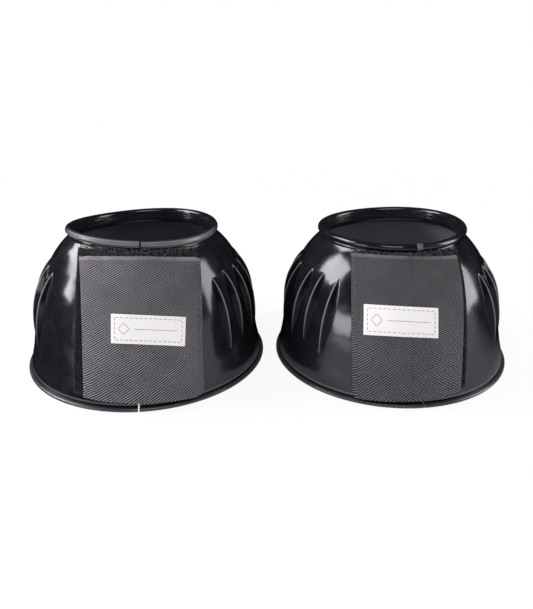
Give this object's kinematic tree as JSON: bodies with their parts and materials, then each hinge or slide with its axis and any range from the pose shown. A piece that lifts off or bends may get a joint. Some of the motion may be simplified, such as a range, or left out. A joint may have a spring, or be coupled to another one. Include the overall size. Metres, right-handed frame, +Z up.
{
  "type": "bell boots",
  "caption": "Pair of ribbed rubber bell boots with a rolled collar, a front split and a double hook-and-loop closure under a wide woven flap.",
  "frame": {"origin": "on the ground, at the middle of the box round the two boots", "axes": "+X from the left boot to the right boot as seen from the front, -Y towards the closures at the front, +Z up"},
  "size_m": [0.3872, 0.194, 0.108],
  "materials": {
    "bell_rubber": "glossy moulded rubber",
    "loop_tape": "fuzzy black loop pile",
    "hook_tape": "black hook tape",
    "dark_thread": "black sewing thread",
    "flap_webbing": "dark grey twill webbing",
    "flap_thread": "grey sewing thread",
    "label_cloth": "warm white woven label",
    "label_thread": "grey sewing thread"
  },
  "bodies": {
    "left_back": {"left_back_shell": "bell_rubber"},
    "left_outer": {"left_outer_wing": "bell_rubber", "left_tongue_root": "hook_tape", "left_tongue": "loop_tape", "left_tongue_hook": "hook_tape", "left_tongue_stitching": "dark_thread"},
    "left_inner": {"left_inner_wing": "bell_rubber", "left_inner_patch": "loop_tape", "left_flap_root": "flap_webbing", "left_flap_stitching": "flap_thread"},
    "left_flap": {"left_flap": "flap_webbing", "left_flap_hook": "hook_tape", "left_label": "label_cloth", "left_label_stitching": "label_thread"},
    "right_back": {"right_back_shell": "bell_rubber"},
    "right_outer": {"right_outer_wing": "bell_rubber", "right_tongue_root": "hook_tape", "right_tongue": "loop_tape", "right_tongue_hook": "hook_tape", "right_tongue_stitching": "dark_thread"},
    "right_inner": {"right_inner_wing": "bell_rubber", "right_inner_patch": "loop_tape", "right_flap_root": "flap_webbing", "right_flap_stitching": "flap_thread"},
    "right_flap": {"right_flap": "flap_webbing", "right_flap_hook": "hook_tape", "right_label": "label_cloth", "right_label_stitching": "label_thread"}
  },
  "joints": [
    {"name": "right_boot_apart", "type": "slide", "parent": "left_back", "child": "right_back", "axis": [1, 0, 0], "range_m": [0, 0.06]},
    {"name": "left_outer_spread", "type": "hinge", "parent": "left_back", "child": "left_outer", "pos_m": [-0.1927, -0.02095, 0.05], "axis": [0, 0, -1], "range_deg": [0, 14], "stiffness_Nm_per_rad": 0.3},
    {"name": "left_inner_spread", "type": "hinge", "parent": "left_back", "child": "left_inner", "pos_m": [-0.00318, 0.00434, 0.05], "axis": [0, 0, 1], "range_deg": [0, 14]},
    {"name": "left_flap_peel", "type": "hinge", "parent": "left_inner", "child": "left_flap", "pos_m": [-0.05186, -0.09489, 0.01018], "axis": [-0.0559, 0.3831, 0.922], "range_deg": [0, 105]},
    {"name": "right_outer_spread", "type": "hinge", "parent": "right_back", "child": "right_outer", "pos_m": [0.19478, 0.00801, 0.05], "axis": [0, 0, 1], "range_deg": [0, 14], "stiffness_Nm_per_rad": 0.3},
    {"name": "right_inner_spread", "type": "hinge", "parent": "right_back", "child": "right_inner", "pos_m": [0.00544, -0.0186, 0.05], "axis": [0, 0, -1], "range_deg": [0, 14]},
    {"name": "right_flap_peel", "type": "hinge", "parent": "right_inner", "child": "right_flap", "pos_m": [0.06425, -0.09711, 0.01018], "axis": [-0.0068, -0.3871, -0.922], "range_deg": [0, 105]}
  ],
  "couplings": [
    {"joint": "left_inner_spread", "follows": "left_outer_spread", "ratio": 1},
    {"joint": "right_inner_spread", "follows": "right_outer_spread", "ratio": 1}
  ]
}
